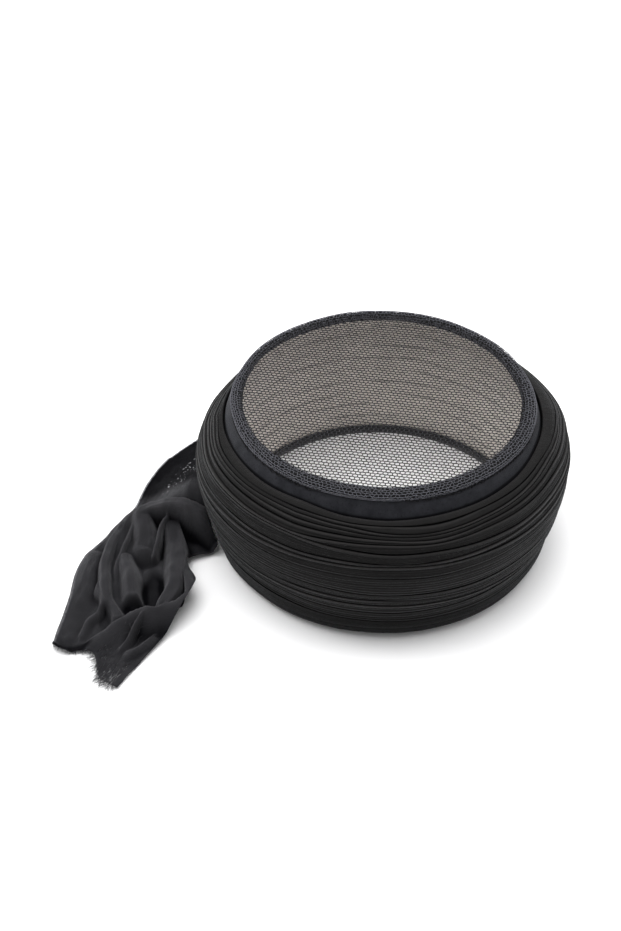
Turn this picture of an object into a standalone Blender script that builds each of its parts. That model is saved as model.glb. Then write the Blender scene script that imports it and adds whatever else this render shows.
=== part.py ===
"""A ready-wound turban with an open net crown, standing on its rim.

Lengths are in metres and +Z is up. The front of the turban faces -Y. The free end of its cloth leaves the
winding at the back and lies on the floor on the -X side. The origin is the bottom centre of the whole.
"""

import math

import bmesh
import bpy
from mathutils import Vector

# Clear space between neighbouring pieces
CLEARANCE = 0.0003

# Height of the winding, and how far the cap and its smooth band rise above it
WRAP_HEIGHT = 0.0880
BAND_RISE = 0.0085

# Stiff cap: half width and half depth inside its wall, and the shoulder that draws in at the top
CAP_RADIUS = 0.0945
CAP_HALF_DEPTH = 0.0978
CAP_WALL = 0.0018
CAP_HEIGHT = WRAP_HEIGHT + BAND_RISE
SHOULDER_HEIGHT = 0.0180
SHOULDER_INSET = 0.0058

# Binding inside the lower edge of the cap
BINDING_WALL = 0.0014
BINDING_HEIGHT = 0.0056

# Smooth band outside the cap: its cloth, and how far it runs down behind the winding
BAND_WALL = 0.0012
BAND_TUCK = 0.0140

# Padded ring round the top of the cap. Its section is an oval with fuller corners: 1 leaves it an oval
# and a smaller share squares it
HEM_WIDTH = 0.0087
HEM_HEIGHT = 0.0036
HEM_SQUARING_SHARE = 0.7

# Net over the top, cut through in hexagons, and the share of the ring's width that it lies on
NET_THICKNESS = 0.0009
NET_PITCH = 0.0160
NET_STRAND = 0.0022
NET_TURN_ANGLE = math.radians(-10.0)
NET_LAP_SHARE = 0.67
SMALLEST_GAP_SHARE = 0.25

# Winding: cloth beyond the cap at the foot, greatest depth of cloth, and depth of a fold
WRAP_FOOT_DEPTH = 0.0020
WRAP_DEPTH = 0.0174
FOLD_DEPTH = 0.0022
FOLD_LIP_DROP = 0.0009

# Free end of the cloth: width as it lies, height of its heap and thickness of its cloth
TAIL_WIDTH = 0.0750
TAIL_RISE = 0.0450
TAIL_WALL = 0.0016

# Its cut edge, drawn back between its corners: share of the length that is drawn back, and the place and
# half width of that bay as shares of the way across
NOTCH_SHARE = 0.035
NOTCH_PLACE_SHARE = 0.6
NOTCH_HALF_SHARE = 0.4

# Facets, the smallest distance between two corners, and the angle at which an edge reads as sharp
TURN_STEPS = 52
CAP_ROWS = 3
HEM_SIDES = 8
REACH_STEPS = 40
TAIL_ROWS_ALONG = 30
TAIL_ROWS_ACROSS = 12
WELD = 0.00001
SHARP_ANGLE = math.radians(50.0)

# Depth of the turban from front to back, as a share of its width
HEAD_OVAL = CAP_HALF_DEPTH / CAP_RADIUS

# Outline of the winding from foot to top.
# Columns: height as a share of WRAP_HEIGHT, depth of cloth beyond the foot as a share of WRAP_DEPTH
WRAP_OUTLINE = (
    (0.00, 0.00),
    (0.04, 0.23),
    (0.09, 0.36),
    (0.23, 0.52),
    (0.43, 0.80),
    (0.58, 0.94),
    (0.68, 0.97),
    (0.78, 0.93),
    (0.89, 0.78),
    (0.96, 0.45),
    (1.00, 0.16),
)

# Places round the winding. Columns: name, angle in degrees, and height of the winding there as a share of
# WRAP_HEIGHT
WRAP_PLACES = (
    ("left", -180.0, 0.960),
    ("front left", -130.0, 0.995),
    ("front", -90.0, 1.000),
    ("front right", -50.0, 1.000),
    ("right", 0.0, 0.985),
    ("back", 90.0, 0.910),
)

# Folds of the winding. Columns: name, height at each of the WRAP_PLACES as a share of the height there,
# and depth of the crease and height of the lip below it as shares of FOLD_DEPTH
WRAP_FOLDS = (
    ("top tuck", 0.972, 0.976, 0.930, 0.945, 0.972, 0.970, 1.0, 0.35),
    ("second tuck", 0.915, 0.903, 0.898, 0.905, 0.918, 0.910, 0.6, 0.25),
    ("falling fold", 0.858, 0.850, 0.800, 0.806, 0.820, 0.840, 0.7, 0.25),
    ("upper crease", 0.755, 0.745, 0.735, 0.745, 0.775, 0.760, 0.6, 0.20),
    ("main crease", 0.706, 0.702, 0.712, 0.695, 0.725, 0.710, 1.0, 0.45),
    ("middle fold", 0.464, 0.470, 0.455, 0.440, 0.455, 0.455, 0.5, 0.20),
    ("waist fold", 0.415, 0.410, 0.395, 0.372, 0.380, 0.395, 0.6, 0.25),
    ("low fold", 0.340, 0.335, 0.340, 0.325, 0.330, 0.335, 0.4, 0.20),
    ("foot fold", 0.215, 0.200, 0.215, 0.205, 0.200, 0.210, 0.5, 0.25),
    ("hem fold", 0.110, 0.105, 0.110, 0.105, 0.110, 0.110, 0.3, 0.15),
)

# Stations of the free end, from the winding to its cut edge. Columns: angle of the near edge round the
# turban, its distance from the winding as a share of TAIL_WIDTH, its height as a share of TAIL_RISE, and
# the same three for the far edge
TAIL_STATIONS = (
    (112.0, 0.00, 1.26, 112.0, 0.02, 0.90),
    (123.0, 0.00, 1.12, 124.0, 0.12, 0.55),
    (134.0, 0.00, 0.74, 135.0, 0.30, 0.12),
    (146.0, 0.00, 0.34, 146.0, 0.41, 0.02),
    (158.0, 0.00, 0.26, 156.0, 0.49, 0.00),
    (170.0, 0.00, 0.52, 166.0, 0.53, 0.00),
    (180.0, 0.00, 0.66, 176.0, 0.57, 0.00),
    (189.0, 0.00, 0.24, 184.0, 0.74, 0.00),
    (195.5, 0.03, 0.04, 190.0, 0.95, 0.00),
    (197.5, 0.26, 0.10, 194.5, 1.06, 0.00),
    (205.0, 0.33, 0.14, 200.5, 1.16, 0.00),
    (211.0, 0.42, 0.12, 204.5, 1.27, 0.00),
    (217.0, 0.72, 0.08, 207.5, 1.38, 0.00),
    (222.7, 1.50, 0.00, 209.3, 1.45, 0.00),
)

# Lengthwise folds of the free end. Columns: name, place across it where the fold starts, half way and
# where it ends, height as a share of TAIL_RISE, half width as a share of the way across, and the share of
# the way along where it starts and where it ends
TAIL_FOLDS = (
    ("near arm", 0.16, 0.14, 0.10, 0.34, 0.12, 0.56, 0.90),
    ("hollow", 0.38, 0.38, 0.36, -0.20, 0.14, 0.58, 0.84),
    ("middle fold", 0.50, 0.60, 0.68, 0.40, 0.09, 0.44, 0.94),
    ("outer fold", 0.62, 0.75, 0.78, 0.34, 0.08, 0.40, 0.92),
    ("edge fold", 0.84, 0.92, 0.94, 0.14, 0.07, 0.30, 0.98),
)

# Folds that lie across the free end. Columns: name, share of the way along at the near edge and at the
# far edge, height as a share of TAIL_RISE, half width as a share of the way along, and the share of the
# way across where it ends
TAIL_CROSS_FOLDS = (
    ("arched roll", 0.46, 0.50, 0.28, 0.090, 0.95),
    ("front roll", 0.84, 0.97, 0.34, 0.065, 0.85),
)


def clear_scene():
    """Empty the file of objects."""
    for thing in list(bpy.data.objects):
        bpy.data.objects.remove(thing, do_unlink=True)


def material(name, color, roughness, metallic=0.0):
    """One plain surface finish."""
    finish = bpy.data.materials.new(name)
    finish.use_nodes = True
    shader = finish.node_tree.nodes["Principled BSDF"]
    shader.inputs["Base Color"].default_value = (*color, 1.0)
    shader.inputs["Roughness"].default_value = roughness
    shader.inputs["Metallic"].default_value = metallic
    return finish


def smooth_step(share):
    """Ease from 0 to 1."""
    share = min(1.0, max(0.0, share))
    return share * share * (3.0 - 2.0 * share)


def bump(offset, half_width):
    """A rounded ridge, 1 at its crest and 0 beyond its half width."""
    share = abs(offset) / half_width
    return math.cos(share * math.pi / 2.0) ** 2 if share < 1.0 else 0.0


def table_value(rows, column, share):
    """Read one column of a table of evenly spaced rows, smoothly between its rows."""
    place = min(max(share, 0.0), 1.0) * (len(rows) - 1)
    low = min(int(place), len(rows) - 2)
    part = place - low
    picks = [rows[min(max(low + k, 0), len(rows) - 1)][column] for k in (-1, 0, 1, 2)]
    a, b, c, d = picks
    slope = (c - a) / 2.0
    next_slope = (d - b) / 2.0
    rise = 3.0 * (c - b) - 2.0 * slope - next_slope
    bend = 2.0 * (b - c) + slope + next_slope
    return b + part * (slope + part * (rise + part * bend))


def line_value(rows, share):
    """Read the second column of a table at a place in its first column."""
    for (low, low_value), (high, high_value) in zip(rows, rows[1:]):
        if share <= high:
            part = (share - low) / (high - low)
            return low_value + (high_value - low_value) * part
    return rows[-1][1]


def around(values, angle):
    """Read a value given at each of the places round the winding, eased between them."""
    stops = [stop for _, stop, _ in WRAP_PLACES]
    stops.append(stops[0] + 360.0)
    heights = list(values) + [values[0]]
    turned = (angle - stops[0]) % 360.0 + stops[0]
    for k in range(len(stops) - 1):
        if turned <= stops[k + 1]:
            part = smooth_step((turned - stops[k]) / (stops[k + 1] - stops[k]))
            return heights[k] + (heights[k + 1] - heights[k]) * part
    return heights[-1]


def cap_inner_radius(height):
    """Inside of the cap wall, drawn in at the shoulder."""
    rise = max(0.0, (height - CAP_HEIGHT + SHOULDER_HEIGHT) / SHOULDER_HEIGHT)
    return CAP_RADIUS - SHOULDER_INSET * rise * rise


def cap_outer_radius(height):
    """Outside of the cap wall."""
    return cap_inner_radius(height) + CAP_WALL


def band_inner_radius(height):
    """Inside of the smooth band."""
    return cap_outer_radius(height) + CLEARANCE


def band_outer_radius(height):
    """Outside of the smooth band."""
    return band_inner_radius(height) + BAND_WALL


def band_bottom():
    """Lower edge of the smooth band, behind the winding."""
    return WRAP_HEIGHT - BAND_TUCK


def band_heights():
    """Heights of the corners down the smooth band, lowest first."""
    low = band_bottom()
    return [low + (CAP_HEIGHT - low) * k / CAP_ROWS for k in range(CAP_ROWS + 1)]


def wrap_top(angle):
    """Height of the winding at an angle round the turban."""
    return WRAP_HEIGHT * around([share for _, _, share in WRAP_PLACES], angle)


def wrap_radius(share):
    """Outside of the winding, without its folds, at a share of its height."""
    foot = cap_outer_radius(0.0) + CLEARANCE + WRAP_FOOT_DEPTH
    return foot + WRAP_DEPTH * line_value(WRAP_OUTLINE, share)


def wrap_reach(height):
    """Largest radius of the winding and its lips at or below a height."""
    top = WRAP_HEIGHT * min(share for _, _, share in WRAP_PLACES)
    shares = [min(1.0, height / top) * k / REACH_STEPS for k in range(REACH_STEPS + 1)]
    lip = FOLD_DEPTH * max(fold[8] for fold in WRAP_FOLDS)
    return max(wrap_radius(share) for share in shares) + lip


def place(thing, finish, parts):
    """Put a finished piece in the collection and give it its finish."""
    thing.data.materials.clear()
    thing.data.materials.append(finish)
    parts.objects.link(thing)
    return thing


def turned(name, outline, finish, parts):
    """Turn a closed outline of (radius, height) points, which runs down its outer side first."""
    mesh = bpy.data.meshes.new(name)
    points = [(radius, 0.0, height) for radius, height in outline]
    edges = [(k, (k + 1) % len(points)) for k in range(len(points))]
    mesh.from_pydata(points, edges, [])
    thing = bpy.data.objects.new(name, mesh)
    screw = thing.modifiers.new("turn", "SCREW")
    screw.axis = "Z"
    screw.angle = math.tau
    screw.steps = TURN_STEPS
    screw.render_steps = TURN_STEPS
    screw.use_merge_vertices = True
    screw.merge_threshold = WELD
    screw.use_smooth_shade = True
    thing.scale = (1.0, HEAD_OVAL, 1.0)
    return place(thing, finish, parts)


def make_cap_wall(parts):
    """Stiff round wall that carries everything else."""
    heights = [0.0, CAP_HEIGHT - SHOULDER_HEIGHT]
    heights += [CAP_HEIGHT - SHOULDER_HEIGHT * (1.0 - k / CAP_ROWS) for k in range(1, CAP_ROWS + 1)]
    outer = [(cap_outer_radius(z), z) for z in reversed(heights)]
    inner = [(cap_inner_radius(z), z) for z in heights]
    finish = material("warm grey lining", (0.24, 0.225, 0.205), 0.85)
    return turned("cap_wall", outer + inner, finish, parts)


def make_base_binding(parts):
    """Dark binding inside the lower edge of the cap, its upper corner rounded."""
    outer = CAP_RADIUS - CLEARANCE
    inner = outer - BINDING_WALL
    round_off = BINDING_WALL / 2.0
    outline = [
        (outer, BINDING_HEIGHT),
        (outer, 0.0),
        (inner, 0.0),
        (inner, BINDING_HEIGHT - round_off),
        (inner + round_off, BINDING_HEIGHT),
    ]
    finish = material("black binding", (0.018, 0.018, 0.020), 0.80)
    return turned("base_binding", outline, finish, parts)


def make_rim_band(parts):
    """Smooth band round the outside of the cap, whose lower edge is behind the winding."""
    heights = band_heights()
    outer = [(band_outer_radius(z), z) for z in reversed(heights)]
    inner = [(band_inner_radius(z), z) for z in heights]
    finish = material("charcoal cotton", (0.040, 0.042, 0.048), 0.75)
    return turned("rim_band", outer + inner, finish, parts)


def hem_outer_radius():
    """Outside of the padded ring, in line with the band below it."""
    return band_outer_radius(CAP_HEIGHT)


def make_crown_hem(parts):
    """Padded ring on top of the cap and the band."""
    middle = hem_outer_radius() - HEM_WIDTH / 2.0
    level = CAP_HEIGHT + CLEARANCE + HEM_HEIGHT / 2.0
    outline = []
    for k in range(HEM_SIDES):
        turn = math.pi / 2.0 - math.tau * (k + 0.5) / HEM_SIDES
        across = math.copysign(abs(math.cos(turn)) ** HEM_SQUARING_SHARE, math.cos(turn))
        upward = math.copysign(abs(math.sin(turn)) ** HEM_SQUARING_SHARE, math.sin(turn))
        outline.append((middle + HEM_WIDTH / 2.0 * across, level + HEM_HEIGHT / 2.0 * upward))
    finish = material("black hem", (0.012, 0.012, 0.013), 0.70)
    return turned("crown_hem", outline, finish, parts)


def clipped(outline, radius, steps):
    """Cut a convex outline back to a regular polygon drawn round the axis."""
    for k in range(steps):
        turn = math.tau * (k + 0.5) / steps
        normal = Vector((math.cos(turn), math.sin(turn)))
        limit = radius * math.cos(math.pi / steps)
        kept = []
        for a, b in zip(outline, outline[1:] + outline[:1]):
            over_a = a.dot(normal) - limit
            over_b = b.dot(normal) - limit
            if over_a <= 0.0:
                kept.append(a)
            if over_a * over_b < 0.0:
                kept.append(a.lerp(b, over_a / (over_a - over_b)))
        outline = kept
    return outline


def outline_area(outline):
    """Area inside a flat outline."""
    pairs = zip(outline, outline[1:] + outline[:1])
    return abs(sum(a.x * b.y - b.x * a.y for a, b in pairs)) / 2.0


def without_short_sides(outline, shortest):
    """Drop the points of an outline that lie too close to the one before."""
    kept = []
    for k, point in enumerate(outline):
        if (point - outline[k - 1]).length > shortest:
            kept.append(point)
    return kept


def rounded(point):
    """A point of the net turned to the run of its threads and taken from the oval to the round."""
    turned_x = point.x * math.cos(NET_TURN_ANGLE) - point.y * math.sin(NET_TURN_ANGLE)
    turned_y = point.x * math.sin(NET_TURN_ANGLE) + point.y * math.cos(NET_TURN_ANGLE)
    return Vector((turned_x, turned_y / HEAD_OVAL))


def net_gaps(clear_radius):
    """Hexagonal gaps of the net, those at its edge cut back to the ring."""
    corner = (NET_PITCH - NET_STRAND) / math.sqrt(3.0)
    full_area = 1.5 * math.sqrt(3.0) * corner * corner
    reach = int(clear_radius / NET_PITCH) + 2
    gaps = []
    for row in range(-reach, reach + 1):
        for column in range(-2 * reach, 2 * reach + 1):
            across = NET_PITCH * (column + row / 2.0)
            upward = NET_PITCH * row * math.sqrt(3.0) / 2.0
            turns = [math.tau * (k + 0.5) / 6.0 for k in range(6)]
            centre = Vector((across, upward))
            spokes = [corner * Vector((math.cos(t), math.sin(t))) for t in turns]
            outline = [rounded(centre + spoke) for spoke in spokes]
            outline = clipped(outline, clear_radius, TURN_STEPS)
            outline = without_short_sides(outline, NET_STRAND / 4.0)
            if len(outline) > 2 and outline_area(outline) > SMALLEST_GAP_SHARE * full_area:
                gaps.append(outline)
    return gaps


def add_flat_outline(curve, outline):
    """Add one closed straight-sided outline to a flat curve."""
    spline = curve.splines.new("POLY")
    spline.points.add(len(outline) - 1)
    for point, place_at in zip(spline.points, outline):
        point.co = (place_at.x, place_at.y, 0.0, 1.0)
    spline.use_cyclic_u = True


def make_net_crown(parts):
    """Flat net on top of the padded ring, cut through."""
    clear = hem_outer_radius() - HEM_WIDTH
    edge = clear + HEM_WIDTH * NET_LAP_SHARE
    curve = bpy.data.curves.new("net_crown", "CURVE")
    curve.dimensions = "2D"
    curve.fill_mode = "BOTH"
    curve.extrude = NET_THICKNESS / 2.0
    turns = [math.tau * k / TURN_STEPS for k in range(TURN_STEPS)]
    add_flat_outline(curve, [Vector((edge * math.cos(t), edge * math.sin(t))) for t in turns])
    for gap in net_gaps(clear):
        add_flat_outline(curve, gap)
    level = CAP_HEIGHT + CLEARANCE + HEM_HEIGHT + CLEARANCE + NET_THICKNESS / 2.0
    drawn = bpy.data.objects.new("net outline", curve)
    bpy.context.scene.collection.objects.link(drawn)
    drawn.location = (0.0, 0.0, level)
    bpy.context.view_layer.update()
    shown = drawn.evaluated_get(bpy.context.evaluated_depsgraph_get())
    mesh = bpy.data.meshes.new_from_object(shown)
    mesh.name = "net_crown"
    welded = bmesh.new()
    welded.from_mesh(mesh)
    bmesh.ops.remove_doubles(welded, verts=welded.verts, dist=WELD)
    welded.to_mesh(mesh)
    welded.free()
    thing = bpy.data.objects.new("net_crown", mesh)
    thing.location = drawn.location
    thing.scale = (1.0, HEAD_OVAL, 1.0)
    bpy.data.objects.remove(drawn, do_unlink=True)
    return place(thing, material("black net thread", (0.030, 0.030, 0.032), 0.55), parts)


def wound_section(angle):
    """Outline of the winding at one angle: down its folds, then up its inner side."""
    top = wrap_top(angle)
    section = [(wrap_radius(1.0) - FOLD_DEPTH / 2.0, top)]
    last = 1.0
    for fold in WRAP_FOLDS:
        share = around(fold[1:7], angle)
        middle = (last + share) / 2.0
        section.append((wrap_radius(middle), top * middle))
        section.append((wrap_radius(share) - FOLD_DEPTH * fold[7], top * share))
        last = share - FOLD_LIP_DROP / top
        section.append((wrap_radius(last) + FOLD_DEPTH * fold[8], top * last))
    section.append((wrap_radius(last / 2.0), top * last / 2.0))
    section.append((wrap_radius(0.0), 0.0))
    section.append((cap_outer_radius(0.0) + CLEARANCE, 0.0))
    step = band_bottom() - CLEARANCE
    section.append((cap_outer_radius(step) + CLEARANCE, step))
    covered = [step + (top - step) * k / CAP_ROWS for k in range(CAP_ROWS + 1)]
    section += [(band_outer_radius(z) + CLEARANCE, z) for z in covered]
    return section


def make_wound_cloth(parts):
    """Pleated cloth wound round the cap: a loft through sections that differ all the way round."""
    cage = bmesh.new()
    rings = []
    for k in range(TURN_STEPS):
        angle = 360.0 * k / TURN_STEPS
        turn = math.radians(angle)
        section = wound_section(angle)
        flat = [(r * math.cos(turn), r * math.sin(turn) * HEAD_OVAL, z) for r, z in section]
        rings.append([cage.verts.new(corner) for corner in flat])
    for near, far in zip(rings, rings[1:] + rings[:1]):
        for row in range(len(near)):
            below = (row + 1) % len(near)
            cage.faces.new((near[row], near[below], far[below], far[row]))
    bmesh.ops.recalc_face_normals(cage, faces=cage.faces)
    mesh = bpy.data.meshes.new("wound_cloth")
    cage.to_mesh(mesh)
    cage.free()
    mesh.shade_smooth()
    mesh.set_sharp_from_angle(angle=SHARP_ANGLE)
    thing = bpy.data.objects.new("wound_cloth", mesh)
    return place(thing, material("black chiffon", (0.014, 0.013, 0.013), 0.80), parts)


def tail_height(along, across, near_height, far_height):
    """Height of the free end above the floor, in shares of TAIL_RISE."""
    height = near_height + (far_height - near_height) * smooth_step(across)
    for _, first, half_way, last, crest, half_width, start, end in TAIL_FOLDS:
        part = (along - start) / (end - start)
        centre = table_value(((first,), (half_way,), (last,)), 0, part)
        height += crest * bump(across - centre, half_width) * bump(part - 0.5, 0.5)
    for _, near, far, crest, half_width, reach in TAIL_CROSS_FOLDS:
        centre = near + (far - near) * across
        fade = 1.0 - smooth_step(across / reach)
        height += crest * bump(along - centre, half_width) * fade
    return max(height, 0.0)


def tail_point(along, across):
    """One point on the underside of the free end, held out by the winding."""
    along *= 1.0 - NOTCH_SHARE * bump(across - NOTCH_PLACE_SHARE, NOTCH_HALF_SHARE)
    columns = [table_value(TAIL_STATIONS, column, along) for column in range(6)]
    near_turn, near_out, near_height, far_turn, far_out, far_height = columns
    turn = math.radians(near_turn + (far_turn - near_turn) * across)
    height = TAIL_RISE * tail_height(along, across, near_height, far_height)
    near = wrap_reach(TAIL_RISE * max(near_height, 0.0) + TAIL_WALL) + max(near_out, 0.0) * TAIL_WIDTH
    far = wrap_reach(WRAP_HEIGHT) + far_out * TAIL_WIDTH
    radius = near + (far - near) * across
    radius = max(radius, wrap_reach(height + TAIL_WALL)) + CLEARANCE
    return Vector((radius * math.cos(turn), radius * math.sin(turn) * HEAD_OVAL, height))


def make_tail(parts):
    """Free end of the cloth: an open folded surface given the thickness of its cloth."""
    cage = bmesh.new()
    rows = []
    for i in range(TAIL_ROWS_ALONG + 1):
        along = i / TAIL_ROWS_ALONG
        shares = [k / TAIL_ROWS_ACROSS for k in range(TAIL_ROWS_ACROSS + 1)]
        rows.append([cage.verts.new(tail_point(along, across)) for across in shares])
    for near, far in zip(rows, rows[1:]):
        for k in range(TAIL_ROWS_ACROSS):
            cage.faces.new((near[k], near[k + 1], far[k + 1], far[k]))
    mesh = bpy.data.meshes.new("tail")
    cage.to_mesh(mesh)
    cage.free()
    mesh.shade_smooth()
    thing = bpy.data.objects.new("tail", mesh)
    cloth = thing.modifiers.new("cloth", "SOLIDIFY")
    cloth.thickness = TAIL_WALL
    cloth.offset = 1.0
    return place(thing, material("black gauze", (0.020, 0.019, 0.020), 0.85), parts)


def bounds_of(things):
    """Lowest and highest corners of the finished pieces."""
    bpy.context.view_layer.update()
    graph = bpy.context.evaluated_depsgraph_get()
    corners = []
    for thing in things:
        shown = thing.evaluated_get(graph)
        mesh = shown.to_mesh()
        corners += [shown.matrix_world @ vertex.co for vertex in mesh.vertices]
        shown.to_mesh_clear()
    low = Vector([min(corner[axis] for corner in corners) for axis in range(3)])
    high = Vector([max(corner[axis] for corner in corners) for axis in range(3)])
    return low, high


def main():
    """Make every piece about the turban's axis, then centre the whole over the origin."""
    clear_scene()
    parts = bpy.data.collections.new("turban")
    bpy.context.scene.collection.children.link(parts)
    makers = (
        make_net_crown,
        make_crown_hem,
        make_cap_wall,
        make_rim_band,
        make_wound_cloth,
        make_base_binding,
        make_tail,
    )
    pieces = [maker(parts) for maker in makers]
    low, high = bounds_of(pieces)
    stand = bpy.data.objects.new("turban stand point", None)
    parts.objects.link(stand)
    for piece in pieces:
        piece.parent = stand
    stand.location = (-(low.x + high.x) / 2.0, -(low.y + high.y) / 2.0, -low.z)


main()
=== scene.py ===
"""The look of a ready-wound black turban with an open net crown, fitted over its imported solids."""

import math
import random
from math import atan2, cos, hypot, pi, radians, sin, sqrt, tau

import bmesh
import bpy
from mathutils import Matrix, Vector, noise


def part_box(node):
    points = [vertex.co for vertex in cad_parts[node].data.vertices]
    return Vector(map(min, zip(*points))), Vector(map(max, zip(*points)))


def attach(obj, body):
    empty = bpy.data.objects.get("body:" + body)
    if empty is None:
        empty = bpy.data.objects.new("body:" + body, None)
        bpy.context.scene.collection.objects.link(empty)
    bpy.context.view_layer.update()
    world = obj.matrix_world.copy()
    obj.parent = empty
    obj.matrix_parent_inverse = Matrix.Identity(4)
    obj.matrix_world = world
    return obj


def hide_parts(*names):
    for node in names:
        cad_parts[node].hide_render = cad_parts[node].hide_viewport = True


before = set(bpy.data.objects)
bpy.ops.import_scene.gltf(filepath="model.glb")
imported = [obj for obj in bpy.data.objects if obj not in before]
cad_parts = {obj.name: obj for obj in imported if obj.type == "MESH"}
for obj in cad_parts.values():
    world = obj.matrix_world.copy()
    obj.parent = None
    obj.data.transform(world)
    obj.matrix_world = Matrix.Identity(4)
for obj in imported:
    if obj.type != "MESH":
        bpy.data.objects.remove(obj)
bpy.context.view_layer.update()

CAP_LOW, CAP_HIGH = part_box("cap_wall")
AXIS_X = (CAP_LOW[0] + CAP_HIGH[0]) / 2.0
AXIS_Y = (CAP_LOW[1] + CAP_HIGH[1]) / 2.0
MM = 0.001

# Named sizes of the turban, in metres
WRAP_HEIGHT = 0.0880
BAND_RISE = 0.0085
CAP_RADIUS = 0.0945
CAP_HALF_DEPTH = 0.0978
CAP_WALL = 0.0018
CAP_HEIGHT = WRAP_HEIGHT + BAND_RISE
SHOULDER_HEIGHT = 0.0180
SHOULDER_INSET = 0.0058
BINDING_WALL = 0.0014
BINDING_HEIGHT = 0.0056
BAND_WALL = 0.0012
BAND_TUCK = 0.0140
HEM_WIDTH = 0.0087
HEM_HEIGHT = 0.0036
CLEARANCE = 0.0003
WRAP_FOOT_DEPTH = 0.0020
WRAP_DEPTH = 0.0174
TAIL_WIDTH = 0.0750
TAIL_RISE = 0.0450
TAIL_CLOTH = 0.0005
NET_PITCH = 0.00278
NET_THREAD = 0.00070
EDGE_THREAD = 0.00040
NET_FLATTEN = 0.12
NET_TURN = radians(-10.0)
HEAD_OVAL = CAP_HALF_DEPTH / CAP_RADIUS

# How the cloth folds: the shares of the room above and below a fold that it takes, the half width of a small
# pleat, and the middle radius of the winding, for its map
FOLD_ROOM_ABOVE = 0.36
FOLD_ROOM_BELOW = 0.40
PLEAT_HALF_WIDTH = 0.45 * MM
WRAP_MIDDLE_RADIUS = 0.112

# The free end: its map, how softly folds meet, and the height of its broad and fine ripples
TAIL_MAP_LENGTH = 0.36
TAIL_MAP_WIDTH = 0.20
TAIL_SOFT_MEETING = 1.4 * MM
TAIL_RIPPLE = 1.3 * MM
TAIL_FINE_RIPPLE = 0.55 * MM

# The camera: its focal length in pixels and the height of the picture, how far it looks down in degrees, and
# its place from the turban's axis
FOCAL_PIXELS = 1700.0
PICTURE_HEIGHT = 931.0
LOOK_DOWN = 38.32
CAMERA_PLACE = (-0.0443, -0.8352, 0.7071)


def smooth_step(share):
    """Ease from 0 to 1."""
    share = min(1.0, max(0.0, share))
    return share * share * (3.0 - 2.0 * share)


def ridge(offset, half_width):
    """A rounded ridge, 1 at its crest and 0 beyond its half width."""
    share = abs(offset) / half_width
    return cos(share * pi / 2.0) ** 2 if share < 1.0 else 0.0


def spot(radius, degrees, height):
    """A point by its radius, its angle round the turban and its height."""
    turn = radians(degrees)
    return Vector((AXIS_X + radius * cos(turn), AXIS_Y + radius * sin(turn) * HEAD_OVAL, height))


def line_value(rows, share):
    """Read the second column of a table at a place in its first column."""
    if share <= rows[0][0]:
        return rows[0][1]
    for (low, low_value), (high, high_value) in zip(rows, rows[1:]):
        if share <= high:
            part = smooth_step((share - low) / (high - low)) * 0.35 + (share - low) / (high - low) * 0.65
            return low_value + (high_value - low_value) * part
    return rows[-1][1]


def between_four(values, part):
    """A smooth curve through four values, read at a part of the way from the second to the third."""
    a, b, c, d = values
    slope = (c - a) / 2.0
    next_slope = (d - b) / 2.0
    rise = 3.0 * (c - b) - 2.0 * slope - next_slope
    bend = 2.0 * (b - c) + slope + next_slope
    return b + part * (slope + part * (rise + part * bend))


def curve_value(values, share):
    """Read a row of evenly spaced values, smoothly between them."""
    place = min(max(share, 0.0), 1.0) * (len(values) - 1)
    low = min(int(place), len(values) - 2)
    near = [values[min(max(low + k, 0), len(values) - 1)] for k in (-1, 0, 1, 2)]
    return between_four(near, place - low)


def ripple(*places, seed=0.0):
    """Soft wandering between -1 and 1, the same on every run."""
    x, y, z = (list(places) + [0.0, 0.0])[:3]
    return noise.noise(Vector((x + seed * 17.3, y - seed * 9.1, z + seed * 5.7)))


class Value:
    """A number that changes over a surface; sums on it add nodes."""

    def __init__(self, finish, socket):
        self.finish = finish
        self.socket = socket

    def work(self, operation, first, second):
        return self.finish.node("ShaderNodeMath", {"operation": operation}, {0: first, 1: second}, 0)

    def __add__(self, other):
        return self.work("ADD", self, other)

    __radd__ = __add__

    def __mul__(self, other):
        return self.work("MULTIPLY", self, other)

    __rmul__ = __mul__

    def __sub__(self, other):
        return self.work("SUBTRACT", self, other)

    def __rsub__(self, other):
        return self.work("SUBTRACT", other, self)

    def clamp(self):
        return self.work("MINIMUM", self.work("MAXIMUM", self, 0.0), 1.0)


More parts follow.
